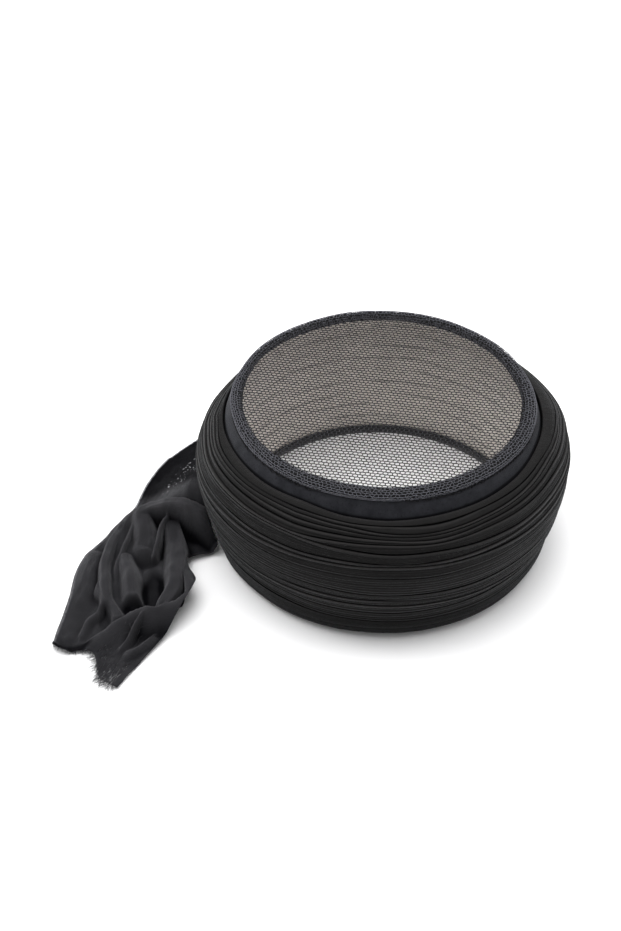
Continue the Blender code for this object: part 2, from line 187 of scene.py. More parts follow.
class Finish:
    """One surface finish, built from nodes."""

    def __init__(self, name, roughness, sheen=0.0, sheen_roughness=0.5, sheen_tint=(1.0, 1.0, 1.0)):
        self.material = bpy.data.materials.new(name)
        self.material.use_nodes = True
        self.tree = self.material.node_tree
        self.shader = self.tree.nodes["Principled BSDF"]
        self.shader.inputs["Roughness"].default_value = roughness
        self.shader.inputs["Sheen Weight"].default_value = sheen
        self.shader.inputs["Sheen Roughness"].default_value = sheen_roughness
        self.shader.inputs["Sheen Tint"].default_value = (*sheen_tint, 1.0)
        self.shader.inputs["Specular IOR Level"].default_value = 0.1

    def node(self, kind, settings, inputs, output):
        """Add one node: its settings first, then the values or links of its sockets."""
        made = self.tree.nodes.new(kind)
        for name, setting in settings.items():
            setattr(made, name, setting)
        for key, given in inputs.items():
            if isinstance(given, Value):
                self.tree.links.new(given.socket, made.inputs[key])
            else:
                made.inputs[key].default_value = given
        return Value(self, made.outputs[output])

    def where(self, source="Object"):
        """Places on the surface: in space, or along its own map in metres."""
        return self.node("ShaderNodeTexCoord", {}, {}, source)

    def stretched(self, source, along, across):
        """Places on the flat cloth, scaled along and across it."""
        inputs = {"Vector": source, "Scale": (along, across, 1.0)}
        return self.node("ShaderNodeMapping", {}, inputs, "Vector")

    def cloud(self, source, size, detail=3.0, roughness=0.55):
        """Soft blotches of a size in metres, from 0 to 1."""
        inputs = {"Vector": source, "Scale": 1.0 / size, "Detail": detail, "Roughness": roughness}
        return self.node("ShaderNodeTexNoise", {}, inputs, "Fac")

    def threads(self, source, axis, pitch, wander=0.0):
        """Rows of threads across one axis, from 0 to 1, straight or wandering a little."""
        settings = {"wave_type": "BANDS", "bands_direction": axis, "wave_profile": "SIN"}
        inputs = {"Vector": source, "Scale": tau / (20.0 * pitch)}
        inputs.update({"Distortion": wander, "Detail": 1.0, "Detail Scale": 0.7})
        return self.node("ShaderNodeTexWave", settings, inputs, "Fac")

    def weave(self, source, pitch):
        """Threads both ways, from 0 to 1."""
        return 0.5 * self.threads(source, "X", pitch) + 0.5 * self.threads(source, "Y", pitch)

    def between(self, value, low, high):
        """Spread a value from low to high over 0 to 1."""
        inputs = {"Value": value, "From Min": low, "From Max": high}
        return self.node("ShaderNodeMapRange", {"clamp": True}, inputs, "Result")

    def blend(self, mask, first, second):
        """Mix two colours by a mask."""
        inputs = {"Factor": mask}
        for key, given in ((6, first), (7, second)):
            inputs[key] = given if isinstance(given, Value) else (*given, 1.0)
        return self.node("ShaderNodeMix", {"data_type": "RGBA"}, inputs, 2)

    def split(self, source, axis):
        """One axis of a place."""
        return self.node("ShaderNodeSeparateXYZ", {}, {"Vector": source}, axis)

    def feed(self, name, value):
        """Link a value to a socket of the shader."""
        self.tree.links.new(value.socket, self.shader.inputs[name])

    def colour(self, mask, first, second):
        """Colour the surface with a mix of two colours by a mask."""
        self.feed("Base Color", self.blend(mask, first, second))

    def carried(self, name):
        """A value that the mesh carries at its points."""
        return self.node("ShaderNodeAttribute", {"attribute_name": name}, {}, "Fac")

    def deepen(self, mask, colour):
        """Let the matt shade of deep creases take over by a mask."""
        shade = self.tree.nodes.new("ShaderNodeBsdfPrincipled")
        shade.inputs["Base Color"].default_value = (*colour, 1.0)
        shade.inputs["Roughness"].default_value = 1.0
        shade.inputs["Specular IOR Level"].default_value = 0.0
        mix = self.tree.nodes.new("ShaderNodeMixShader")
        self.tree.links.new(mask.socket, mix.inputs[0])
        self.tree.links.new(self.shader.outputs[0], mix.inputs[1])
        self.tree.links.new(shade.outputs[0], mix.inputs[2])
        self.tree.links.new(mix.outputs[0], self.tree.nodes["Material Output"].inputs["Surface"])

    def see_through(self, value):
        """Open the cloth where a value is low."""
        self.feed("Alpha", value)
        for link in list(self.tree.nodes["Material Output"].inputs["Surface"].links):
            shade = link.from_node.inputs[2].links[0].from_node
            self.tree.links.new(value.socket, shade.inputs["Alpha"])

    def raise_by(self, height, depth, strength=1.0):
        """Raise the surface by a height pattern, its depth in metres."""
        inputs = {"Height": height, "Distance": depth, "Strength": strength}
        self.feed("Normal", self.node("ShaderNodeBump", {}, inputs, "Normal"))


def finish_piece(piece, finish):
    """Give a piece its finish, and let it ride on the turban."""
    piece.data.materials.clear()
    piece.data.materials.append(finish.material)
    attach(piece, "root")
    return piece


def deselect():
    """Leave edit mode with nothing selected."""
    if bpy.context.object and bpy.context.object.mode != "OBJECT":
        bpy.ops.object.mode_set(mode="OBJECT")
    bpy.ops.object.select_all(action="DESELECT")


def piece_from(name, cage):
    """A piece of the turban from its finished cage."""
    mesh = bpy.data.meshes.new(name)
    cage.to_mesh(mesh)
    cage.free()
    piece = bpy.data.objects.new(name, mesh)
    bpy.context.scene.collection.objects.link(piece)
    return piece


def carry(piece, name, values):
    """Let the mesh carry a value at each of its points."""
    piece.data.attributes.new(name, "FLOAT", "POINT").data.foreach_set("value", values)


def apply_modifier(piece, kind, **settings):
    """Add a modifier with its settings and apply it."""
    deselect()
    piece.select_set(True)
    bpy.context.view_layer.objects.active = piece
    modifier = piece.modifiers.new(kind.lower(), kind)
    for name, setting in settings.items():
        setattr(modifier, name, setting)
    bpy.ops.object.modifier_apply(modifier=modifier.name)


def cloth_mesh(name, rows, closed_round, metres):
    """A sheet through rows of points; each point also carries its place on the flat cloth, in metres."""
    cage = bmesh.new()
    verts = [[cage.verts.new(point) for point in row] for row in rows]
    layer = cage.loops.layers.uv.new("flat cloth")
    count = len(rows)
    for i in range(count if closed_round else count - 1):
        j = (i + 1) % count
        for k in range(len(rows[0]) - 1):
            face = cage.faces.new((verts[i][k], verts[i][k + 1], verts[j][k + 1], verts[j][k]))
            face.smooth = True
            corners = (metres(i, k), metres(i, k + 1), metres(i + 1, k + 1), metres(i + 1, k))
            for loop, place in zip(face.loops, corners):
                loop[layer].uv = place
    return piece_from(name, cage)


def cap_inner_radius(height):
    """Inside of the cap wall, drawn in at the shoulder."""
    rise = max(0.0, (height - CAP_HEIGHT + SHOULDER_HEIGHT) / SHOULDER_HEIGHT)
    return CAP_RADIUS - SHOULDER_INSET * rise * rise


def cap_outer_radius(height):
    """Outside of the cap wall."""
    return cap_inner_radius(height) + CAP_WALL


def band_outer_radius(height):
    """Outside of the smooth band."""
    return cap_outer_radius(height) + CLEARANCE + BAND_WALL


def turned_ring(name, outline, steps):
    """A ring of a closed outline of (radius, height) points, drawn up from a circle by extruding it."""
    deselect()
    first_radius, first_height = outline[0]
    centre = (AXIS_X, AXIS_Y, first_height)
    bpy.ops.mesh.primitive_circle_add(vertices=steps, radius=first_radius, location=centre)
    piece = bpy.context.object
    piece.name = name
    bpy.ops.object.mode_set(mode="EDIT")
    bpy.ops.mesh.select_all(action="SELECT")
    last_radius, last_height = first_radius, first_height
    for radius, height in outline[1:]:
        bpy.ops.mesh.extrude_edges_move()
        bpy.ops.transform.translate(value=(0.0, 0.0, height - last_height))
        grow = radius / last_radius
        bpy.ops.transform.resize(value=(grow, grow, 1.0), center_override=(AXIS_X, AXIS_Y, height))
        last_radius, last_height = radius, height
    bpy.ops.mesh.select_mode(type="EDGE")
    bpy.ops.mesh.select_all(action="DESELECT")
    bpy.ops.mesh.select_non_manifold()
    bpy.ops.mesh.bridge_edge_loops()
    bpy.ops.mesh.select_all(action="SELECT")
    bpy.ops.transform.resize(value=(1.0, HEAD_OVAL, 1.0), center_override=(AXIS_X, AXIS_Y, 0.0))
    bpy.ops.mesh.normals_make_consistent(inside=False)
    bpy.ops.object.mode_set(mode="OBJECT")
    bpy.ops.object.transform_apply(location=True, rotation=True, scale=True)
    bpy.ops.object.shade_smooth()
    return piece


def map_round(piece):
    """Map a ring flat: along it by the angle, across it by its height and radius, in metres."""
    mesh = piece.data
    while mesh.uv_layers:
        mesh.uv_layers.remove(mesh.uv_layers[0])
    layer = mesh.uv_layers.new(name="flat cloth")
    for face in mesh.polygons:
        middle = atan2(face.center.y - AXIS_Y, face.center.x - AXIS_X)
        for index in face.loop_indices:
            point = mesh.vertices[mesh.loops[index].vertex_index].co
            offset = Vector((point.x - AXIS_X, (point.y - AXIS_Y) / HEAD_OVAL))
            turn = atan2(offset.y, offset.x)
            if turn - middle > pi:
                turn -= tau
            if turn - middle < -pi:
                turn += tau
            layer.data[index].uv = (turn * CAP_RADIUS, point.z + (CAP_RADIUS - offset.length))


# Outline of the winding from foot to top.
# Columns: height as a share of WRAP_HEIGHT, depth of cloth beyond the foot as a share of WRAP_DEPTH
WRAP_OUTLINE = (
    (0.00, 0.00),
    (0.04, 0.23),
    (0.09, 0.36),
    (0.23, 0.52),
    (0.43, 0.80),
    (0.58, 0.94),
    (0.68, 0.97),
    (0.78, 0.93),
    (0.89, 0.78),
    (0.96, 0.45),
    (1.00, 0.16),
)

# Height of the winding round the turban. Columns: angle in degrees, share of WRAP_HEIGHT
WRAP_TOP = (
    (-180.0, 0.995),
    (-160.0, 1.005),
    (-140.0, 1.015),
    (-120.0, 1.025),
    (-105.0, 1.004),
    (-90.0, 0.995),
    (-75.0, 1.000),
    (-60.0, 1.004),
    (-40.0, 1.014),
    (-20.0, 1.034),
    (0.0, 1.035),
    (30.0, 0.980),
    (90.0, 0.910),
    (150.0, 0.940),
    (180.0, 0.995),
)

# Angles in degrees at which the folds' heights are given
FOLD_STOPS = (-180.0, -160.0, -140.0, -120.0, -105.0, -90.0, -75.0, -60.0, -40.0, -20.0, 30.0, 105.0)

# Folds of the winding from the top down. Columns: name, heights in mm at the FOLD_STOPS on a winding 88 mm
# high, crease depth in mm, crease half width in mm, lip height in mm, lip overlap in mm, angle in degrees
# where the fold is deepest, how far to each side it keeps its depth, share of its depth elsewhere, small
# pleats below it, and the depth of those in mm
WRAP_FOLDS = (
    ("front line", (86.2, 87.0, 87.9, 88.8, 87.3, 86.5, 86.1, 87.2, 88.0, 89.4, 84.6, 79.0),
     2.2, 1.0, 0.3, 0.4, -88, 13, 0.3, 0, 0.1),
    ("top tuck", (85.0, 85.8, 86.8, 87.5, 86.3, 84.1, 83.5, 84.7, 86.3, 88.2, 83.2, 77.8),
     2.6, 1.0, 0.5, 0.7, -75, 38, 0.5, 0, 0.3),
    ("left tuck", (83.6, 84.4, 85.2, 85.2, 84.6, 82.9, 82.3, 83.6, 85.0, 86.8, 81.8, 76.6),
     2.4, 0.9, 0.4, 0.5, -134, 22, 0.35, 0, 0.5),
    ("second tuck", (81.8, 82.2, 82.8, 82.8, 82.3, 81.5, 80.6, 81.9, 82.9, 84.4, 80.0, 75.0),
     2.6, 1.1, 0.4, 0.5, -84, 18, 0.65, 1, 0.4),
    ("third tuck", (79.6, 79.7, 79.6, 79.5, 79.8, 79.6, 79.0, 79.7, 80.5, 81.2, 77.6, 73.0),
     2.2, 0.9, 0.6, 0.6, -32, 16, 0.68, 3, 0.5),
    ("falling fold", (76.9, 77.2, 77.5, 77.8, 76.2, 74.4, 74.3, 73.4, 73.6, 74.4, 73.6, 69.8),
     2.2, 1.0, 0.5, 0.6, -128, 18, 0.68, 6, 0.42),
    ("upper crease", (69.4, 69.2, 69.0, 68.8, 69.2, 68.8, 68.4, 68.9, 70.2, 71.0, 69.6, 66.0),
     2.2, 0.9, 0.3, 0.4, -42, 26, 0.72, 4, 0.36),
    ("main crease", (64.4, 64.8, 64.8, 65.6, 66.3, 66.7, 65.8, 65.4, 64.5, 66.3, 65.2, 62.4),
     2.8, 1.1, 0.6, 0.8, -135, 40, 0.75, 4, 0.3),
    ("high ripple", (58.4, 58.6, 58.6, 58.2, 58.8, 58.8, 58.0, 58.5, 59.0, 60.0, 59.6, 57.6),
     1.0, 1.2, 0.1, 0.1, -152, 14, 0.18, 5, 0.26),
    ("broad ripple", (46.4, 46.2, 46.0, 45.6, 45.3, 44.8, 43.6, 43.2, 44.8, 46.0, 46.0, 45.0),
     0.6, 1.2, 0.1, 0.1, -60, 26, 0.25, 3, 0.22),
    ("middle fold", (40.6, 40.5, 40.0, 39.6, 39.4, 39.8, 38.4, 37.4, 37.6, 38.4, 39.4, 39.6),
     1.0, 0.9, 0.15, 0.25, -112, 16, 0.22, 2, 0.22),
    ("waist fold", (35.2, 35.0, 34.6, 34.4, 34.7, 34.4, 33.8, 33.0, 32.6, 32.4, 33.4, 34.4),
     1.0, 0.9, 0.15, 0.25, -98, 30, 0.28, 2, 0.2),
    ("low fold", (27.6, 28.0, 28.4, 27.8, 27.2, 26.8, 26.8, 27.6, 28.8, 29.0, 29.0, 28.2),
     0.8, 1.2, 0.12, 0.2, -40, 20, 0.25, 2, 0.18),
    ("foot fold", (19.4, 20.0, 19.8, 19.0, 18.6, 18.0, 17.8, 17.8, 18.4, 19.0, 19.0, 19.2),
     0.7, 1.2, 0.08, 0.2, -148, 12, 0.22, 1, 0.1),
)
WRAP_STEPS = 420


def angle_between(a, b):
    """Smallest angle between two directions in degrees."""
    return abs((a - b + 180.0) % 360.0 - 180.0)


def at_stops(values, angle):
    """Read a fold's height at an angle, smoothly between the stops and right round."""
    stops = list(FOLD_STOPS) + [FOLD_STOPS[0] + 360.0]
    turned = (angle + 180.0) % 360.0 - 180.0
    count = len(values)
    for k in range(count):
        if turned <= stops[k + 1]:
            near = [values[(k + j) % count] for j in (-1, 0, 1, 2)]
            return between_four(near, (turned - stops[k]) / (stops[k + 1] - stops[k]))
    return values[0]


def wrap_top(angle):
    """Height of the winding at an angle round the turban."""
    return WRAP_HEIGHT * line_value(WRAP_TOP, (angle + 180.0) % 360.0 - 180.0)


def wrap_radius(share, angle=-90.0):
    """Outside of the winding without its folds, at a share of its height, slimmer at the back left."""
    foot = cap_outer_radius(0.0) + CLEARANCE + WRAP_FOOT_DEPTH
    slim = 3.6 * MM * ridge(angle_between(angle, 155.0), 52.0) * smooth_step((share - 0.55) / 0.4)
    return foot + WRAP_DEPTH * line_value(WRAP_OUTLINE, share) - slim


def pleating(angle):
    """How strongly the small pleats stand out: gathered at the sides, smooth at the front."""
    left = ridge(angle_between(angle, 180.0), 80.0)
    right = ridge(angle_between(angle, 0.0), 70.0)
    return 0.13 + 2.9 * left + 2.5 * right


def pleat_lines(angle):
    """Every fold and small pleat at an angle, top down: height, crease depth, half width, lip and overlap,
    all in metres, and a fold's name. The small pleats share the room between the folds."""
    mains = []
    last = wrap_top(angle) + 0.3 * MM
    for row in WRAP_FOLDS:
        name, heights, crease, width, lip, over, deepest, keeps, rest, smalls, small_depth = row
        far = max(0.0, angle_between(angle, deepest) - keeps) / 30.0
        depth = rest + (1.0 - rest) * (1.0 - smooth_step(far))
        depth *= max(0.15, 1.0 + 0.9 * pleat_wave(angle, len(mains) + 40, 26.0))
        z = min(at_stops(heights, angle) * MM, last - 1.2 * MM)
        shape = [crease * depth, 1.35 * width, lip * depth, over * depth]
        mains.append([z, *shape, smalls, small_depth, last - z, name])
        last = z
    lines = []
    for index, (z, crease, width, lip, over, smalls, small_depth, above, name) in enumerate(mains):
        following = mains[index + 1] if index + 1 < len(mains) else [0.004, 0.0, 0.0]
        below = z - following[0]
        half_width = min(width * MM, FOLD_ROOM_ABOVE * above, FOLD_ROOM_BELOW * below)
        crease = min(1.25 * crease * MM, 3.0 * half_width)
        overlap = min(0.5 * over * MM, 0.5 * half_width)
        lines.append([z, crease, half_width, min(lip * MM, half_width), overlap, name])
        top = z - half_width
        room = top - following[0] - min(following[2] * MM, FOLD_ROOM_ABOVE * below)
        before = top
        for k in range(smalls):
            seed = 10 * index + k
            place = (k + 1.0 + 0.55 * pleat_wave(angle, seed, 38.0)) / (smalls + 1.0)
            strength = max(0.1, 0.5 + 1.1 * pleat_wave(angle, seed + 100, 24.0))
            half_width = min(PLEAT_HALF_WIDTH, 0.36 * room / (smalls + 1.0))
            crease = min(small_depth * strength * pleating(angle) * MM, 2.5 * half_width)
            height = min(top - room * place, before - 0.3 * room / (smalls + 1.0))
            height = max(height, top - room + 0.3 * room * (smalls - k) / (smalls + 1.0))
            half_width = min(half_width, 0.8 * (before - height))
            lines.append([height, crease, half_width, 0.35 * crease, 0.2 * crease, None])
            before = height
    return lines


def pleat_wave(angle, seed, length):
    """Wandering round the turban that meets itself, between about -1 and 1."""
    turn = radians(angle)
    reach = 57.3 / length
    return 1.6 * ripple(reach * cos(turn), reach * sin(turn), seed * 3.7, seed=seed)


def section_points(angle):
    """Outline of the winding at one angle, with the same number of points at every angle, and the point
    where its two turns part. Each point is its radius, its height, how much painted crease shade it takes,
    and how much painted highlight it takes as a lit edge."""
    top = wrap_top(angle)

    def level(height):
        return wrap_radius(height / top, angle)

    gap = (1.25 + 0.5 * pleat_wave(angle, 91, 25.0)) * MM
    tuck = band_outer_radius(top) + 0.2 * MM
    edge = max(level(top) - 1.2 * MM, tuck + gap + 1.4 * MM)
    # The first points paint shade into the narrow gap where the winding tucks in against the band, and a
    # painted highlight along the winding's top edge.
    points = [
        (tuck, top - 3.0 * MM, 1.0, 0.0),
        (tuck + 0.6 * gap, top - 1.5 * MM, 1.0, 0.0),
        (tuck + gap, top - 0.6 * MM, 0.9, 0.0),
        (tuck + gap + 0.5 * MM, top - 0.2 * MM, 0.1, 0.5),
        (edge, top - 0.2 * MM, 0.0, 0.1),
    ]
    last = top - 0.3 * MM
    split = 0
    for z, crease, width, lip, over, fold in pleat_lines(angle):
        above = last - z
        # Painted shade: each crease takes a dark mask that fades up the cloth above it, and each lip takes a
        # painted highlight.
        shade = min(1.0, crease / (1.1 * MM)) ** 0.8
        lit = min(1.0, (lip + 0.2 * crease) / (0.6 * MM))
        width = min(width, 0.85 * above)
        swell = min(0.60 * MM, 0.09 * above)
        for part, gain in ((0.75, 0.7), (0.4, 1.0), (0.15, 0.7)):
            height = z + width + (above - width) * part
            points.append((level(height) + gain * swell, height, max(0.0, 0.62 - 1.3 * part) * shade, 0.0))
        points += [
            (level(z + width) - 0.08 * crease, z + width, 0.65 * shade, 0.0),
            (level(z + 0.35 * width) - 0.45 * crease, z + 0.35 * width, shade, 0.0),
            (level(z) - crease, z, shade, 0.0),
        ]
        if fold == "main crease":
            split = len(points) - 1
        if fold:
            points += [
                (level(z) - 0.5 * crease, z + 0.4 * over, shade, 0.0),
                (level(z) + 0.3 * lip, z + over, 0.3 * shade, lit),
                (level(z) + 0.85 * lip, z + 0.75 * over, 0.0, lit),
            ]
        last = z - width
        points.append((level(z) + lip, z - 0.2 * width, 0.0, 0.8 * lit))
        points.append((level(last) + 0.7 * lip, last, 0.0, 0.0))
    points += [
        (level(0.5 * last), 0.5 * last, 0.0, 0.0),
        (level(0.0) + 0.8 * MM, 0.0016, 0.0, 0.0),
        (level(0.0), 0.0004, 0.0, 0.0),
        (cap_outer_radius(0.0) + CLEARANCE, 0.0002, 0.0, 0.0),
    ]
    return points, split


def crumpled(radius, angle, height):
    """Small hollows and swellings of soft cloth."""
    turn = radians(angle)
    east = radius * cos(turn)
    north = radius * sin(turn)
    broad = ripple(east / 0.030, north / 0.030, height / 0.016, seed=1)
    fine = ripple(east / 0.007, north / 0.007, height / 0.0022, seed=2)
    return radius + 0.45 * MM * broad + 0.05 * MM * fine


def winding_piece(name, sections, first, last, finish):
    """One turn of the winding, through part of every section."""
    rows = []
    creases = []
    painted_highlights = []
    for angle, section in sections:
        row = []
        for radius, height, crease, edge in section[first:last]:
            soft = 1.0 if 0.002 < height < wrap_top(angle) - 0.001 else 0.0
            row.append(spot(crumpled(radius, angle, height) if soft else radius, angle, height))
            creases.append(crease)
            painted_highlights.append(edge)
        rows.append(row)
    lengths = [0.0]
    for a, b in zip(rows[0], rows[0][1:]):
        lengths.append(lengths[-1] + (b - a).length)
    step = tau * WRAP_MIDDLE_RADIUS / len(rows)
    piece = cloth_mesh(name, rows, True, lambda i, k: (i * step, -lengths[k]))
    # Crease values are painted shade in the creases, and edge values are painted highlights on lit lips.
    carry(piece, "crease", creases)
    carry(piece, "edge", painted_highlights)
    finish_piece(piece, finish)
    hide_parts("wound_cloth")


def chiffon_finish():
    """Near-black crinkled chiffon, its crinkle running with the winding, with painted highlights on lit lips
    and painted shade in its creases and towards its foot.
    """
    finish = Finish("black crinkled chiffon", 0.82, 0.15, 0.35, (0.95, 0.97, 1.0))
    flat = finish.where("UV")
    crinkle = finish.cloud(finish.stretched(flat, 0.35, 1.0), 0.0016, 4.0, 0.62)
    grain = finish.cloud(finish.stretched(flat, 1.0, 0.45), 0.0007, 2.0, 0.6)
    blotch = finish.cloud(finish.where(), 0.022, 2.0)
    weft = finish.threads(flat, "Y", 0.00045)
    warp = finish.threads(flat, "X", 0.00045)
    height = 0.55 * crinkle + 0.25 * grain + 0.1 * weft + 0.1 * warp
    tone = finish.between(0.6 * crinkle + 0.4 * blotch, 0.3, 0.75)
    cloth = finish.blend(tone, (0.0036, 0.0034, 0.0033), (0.0078, 0.0075, 0.0076))
    # Painted highlight: the lit lips of the folds are coloured lighter.
    finish.colour(0.45 * finish.carried("edge"), cloth, (0.042, 0.040, 0.040))
    finish.feed("Roughness", 0.74 + 0.16 * crinkle)
    finish.raise_by(height, 0.0006, 0.8)
    # Painted shade: darker towards the foot, and near-black in the creases.
    foot = 0.6 * finish.between(finish.split(finish.where(), 2), 0.030, 0.006)
    finish.deepen((0.97 * finish.carried("crease") + foot).clamp(), (0.0008, 0.0008, 0.0008))
    return finish


def make_wound_cloth():
    """The winding in two turns that overlap at the main crease."""
    sections = []
    for step in range(WRAP_STEPS):
        angle = 360.0 * step / WRAP_STEPS - 180.0
        section, split = section_points(angle)
        sections.append((angle, section))
    finish = chiffon_finish()
    winding_piece("winding_upper_turn", sections, 0, split + 1, finish)
    winding_piece("winding_lower_turn", sections, split, None, finish)


# Width of the padded ring round the crown. Columns: angle in degrees, share of HEM_WIDTH
HEM_SPREAD = (
    (-180.0, 0.74),
    (-150.0, 0.80),
    (-115.0, 1.00),
    (-40.0, 1.00),
    (20.0, 0.95),
    (60.0, 0.86),
    (120.0, 0.84),
    (150.0, 0.68),
    (180.0, 0.74),
)


def rim_sway(degrees):
    """Small wandering of the rim, in and out."""
    return 0.5 * MM * pleat_wave(degrees, 71, 20.0) + 0.1 * MM


def net_level(reach, degrees):
    """Radius and height of the net at a distance from its middle, laid over the padded ring."""
    roll = HEM_WIDTH * 0.72 * line_value(HEM_SPREAD, degrees)
    outer = band_outer_radius(CAP_HEIGHT)
    top = CAP_HEIGHT + 2.0 * CLEARANCE + HEM_HEIGHT + NET_THREAD * 0.5
    if reach <= outer - roll:
        return reach, top
    half_width = roll + 0.0004 + rim_sway(degrees)
    half_height = HEM_HEIGHT + 0.0006
    quarter = hypot(half_width, half_height) * pi / sqrt(8.0)
    walk = (reach - outer + roll) / quarter
    turn = min(walk, 1.0) * pi / 2.0
    drop = max(0.0, walk - 1.0) * quarter
    return outer - roll + half_width * sin(turn), top - half_height * (1.0 - cos(turn)) - drop


def thread_net(name, cells, place, thread, colours, pitch=NET_PITCH):
    """A net of threads round six-sided cells. Each cell is its middle; place puts a flat point in space."""
    side = pitch / sqrt(3.0)
    turns = [tau * (k + 0.5) / 6.0 for k in range(6)]
    cage = bmesh.new()
    found = {}
    for x, y in cells:
        corners = []
        for turn in turns:
            stretch = 1.0 - NET_FLATTEN if abs(sin(turn)) > 0.9 else 1.0 + 2.0 * NET_FLATTEN
            point, key = place(x + side * cos(turn), y + side * sin(turn) * stretch)
            if key not in found:
                found[key] = cage.verts.new(point)
            corners.append(found[key])
        cage.faces.new(corners)
    piece = piece_from(name, cage)
    apply_modifier(piece, "WIREFRAME", thickness=thread, use_even_offset=False, use_boundary=True)
    bpy.ops.object.shade_smooth()
    finish = Finish(name.replace("_", " "), 0.7, sheen=0.04, sheen_roughness=0.4)
    twist = finish.cloud(finish.where(), 0.0006, 2.0)
    thread_colour = finish.blend(twist, *colours)
    finish.colour(finish.carried("on ring"), thread_colour, (0.005, 0.005, 0.006))
    finish.feed("Roughness", 0.5 + 0.25 * twist)
    finish.raise_by(twist, 0.0002, 0.6)
    return finish_piece(piece, finish)


def make_net():
    """Hexagonal net of fine thread, stretched over the crown and round its padded ring."""
    last_reach = band_outer_radius(CAP_HEIGHT) + 0.0052
    side = NET_PITCH / sqrt(3.0)
    count = int(last_reach / NET_PITCH) + 3
    cells = []
    for row in range(-count, count + 1):
        for column in range(-2 * count, 2 * count + 1):
            x = NET_PITCH * (column + row / 2.0)
            y = NET_PITCH * row * sqrt(3.0) / 2.0
            if hypot(x, y) < last_reach - side:
                cells.append((x, y))

    def place(x, y):
        wave_x = 0.16 * NET_PITCH * ripple(x / 0.006, y / 0.006, seed=6)
        wave_y = 0.16 * NET_PITCH * ripple(x / 0.006, y / 0.006, seed=7)
        run_x = (x + wave_x) * cos(NET_TURN) - (y + wave_y) * sin(NET_TURN)
        run_y = (x + wave_x) * sin(NET_TURN) + (y + wave_y) * cos(NET_TURN)
        reach = max(hypot(run_x, run_y), 1e-9)
        radius, height = net_level(reach, math.degrees(atan2(run_y, run_x)))
        height += 0.12 * MM * ripple(x / 0.02, y / 0.02, seed=8)
        point = Vector((AXIS_X + run_x * radius / reach, AXIS_Y + run_y * radius / reach * HEAD_OVAL, height))
        return point, (round(x / side * 20.0), round(y / side * 20.0))

    colours = ((0.012, 0.012, 0.014), (0.030, 0.030, 0.034))
    piece = thread_net("net_crown_threads", cells, place, NET_THREAD, colours)
    on_ring = []
    for vert in piece.data.vertices:
        east = vert.co.x - AXIS_X
        north = (vert.co.y - AXIS_Y) / HEAD_OVAL
        width = HEM_WIDTH * line_value(HEM_SPREAD, math.degrees(atan2(north, east)))
        on_ring.append(smooth_step((hypot(east, north) - band_outer_radius(CAP_HEIGHT) + width) / MM))
    carry(piece, "on ring", on_ring)
    cut = 2.0 * last_reach
    area = max(sum(face.area for face in piece.data.polygons) / 2.0, 0.3 * cut * cut)
    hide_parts("net_crown")


def make_net_edge():
    """The edge of the net, turned over and sewn down round the padded ring as a second layer."""
    pitch = 0.88 * NET_PITCH
    side = pitch / sqrt(3.0)
    rise = 1.5 * side
    around = round(tau * band_outer_radius(CAP_HEIGHT) / pitch)
    step = tau / around
    last_row = 7
    net_width = last_row * rise + 2.4 * side
    cells = [((c + 0.5 * (r % 2)) * pitch, r * rise) for r in range(last_row + 1) for c in range(around)]

    def place(x, y):
        turn = x / pitch * step
        east = 30.0 * cos(turn)
        north = 30.0 * sin(turn)
        degrees = math.degrees(turn + 0.8 * step * ripple(east, north, y / 0.002, seed=9))
        degrees = (degrees + 180.0) % 360.0 - 180.0
        width = HEM_WIDTH * line_value(HEM_SPREAD, degrees)
        share = (y + 1.2 * side) / net_width + 0.05 * ripple(east, north, y / 0.002, seed=10)
        inside = 146.0 + 58.0 * ridge(angle_between(degrees, 90.0), 110.0)
        bend = radians(inside - (inside + 50.0) * share)
        radius = band_outer_radius(CAP_HEIGHT) - width / 2.0 + (width / 2.0 + 0.5 * MM) * cos(bend)
        level = CAP_HEIGHT + CLEARANCE + HEM_HEIGHT / 2.0
        height = level + (HEM_HEIGHT / 2.0 + 0.95 * MM) * sin(bend)
        key = (round(x / pitch * 20.0) % (20 * around), round(y / pitch * 20.0))
        return spot(radius + rim_sway(degrees), degrees, height), key

    # Painted highlight: the same thread as the crown's net, coloured much lighter here for the shine it
    # catches over the black ring.
    colours = ((0.016, 0.018, 0.023), (0.19, 0.19, 0.215))
    piece = thread_net("net_turned_edge", cells, place, EDGE_THREAD, colours, pitch)
    round_edge = tau * band_outer_radius(CAP_HEIGHT)
    area = max(sum(face.area for face in piece.data.polygons) / 2.0, 0.3 * net_width * round_edge)
    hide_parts("net_crown")


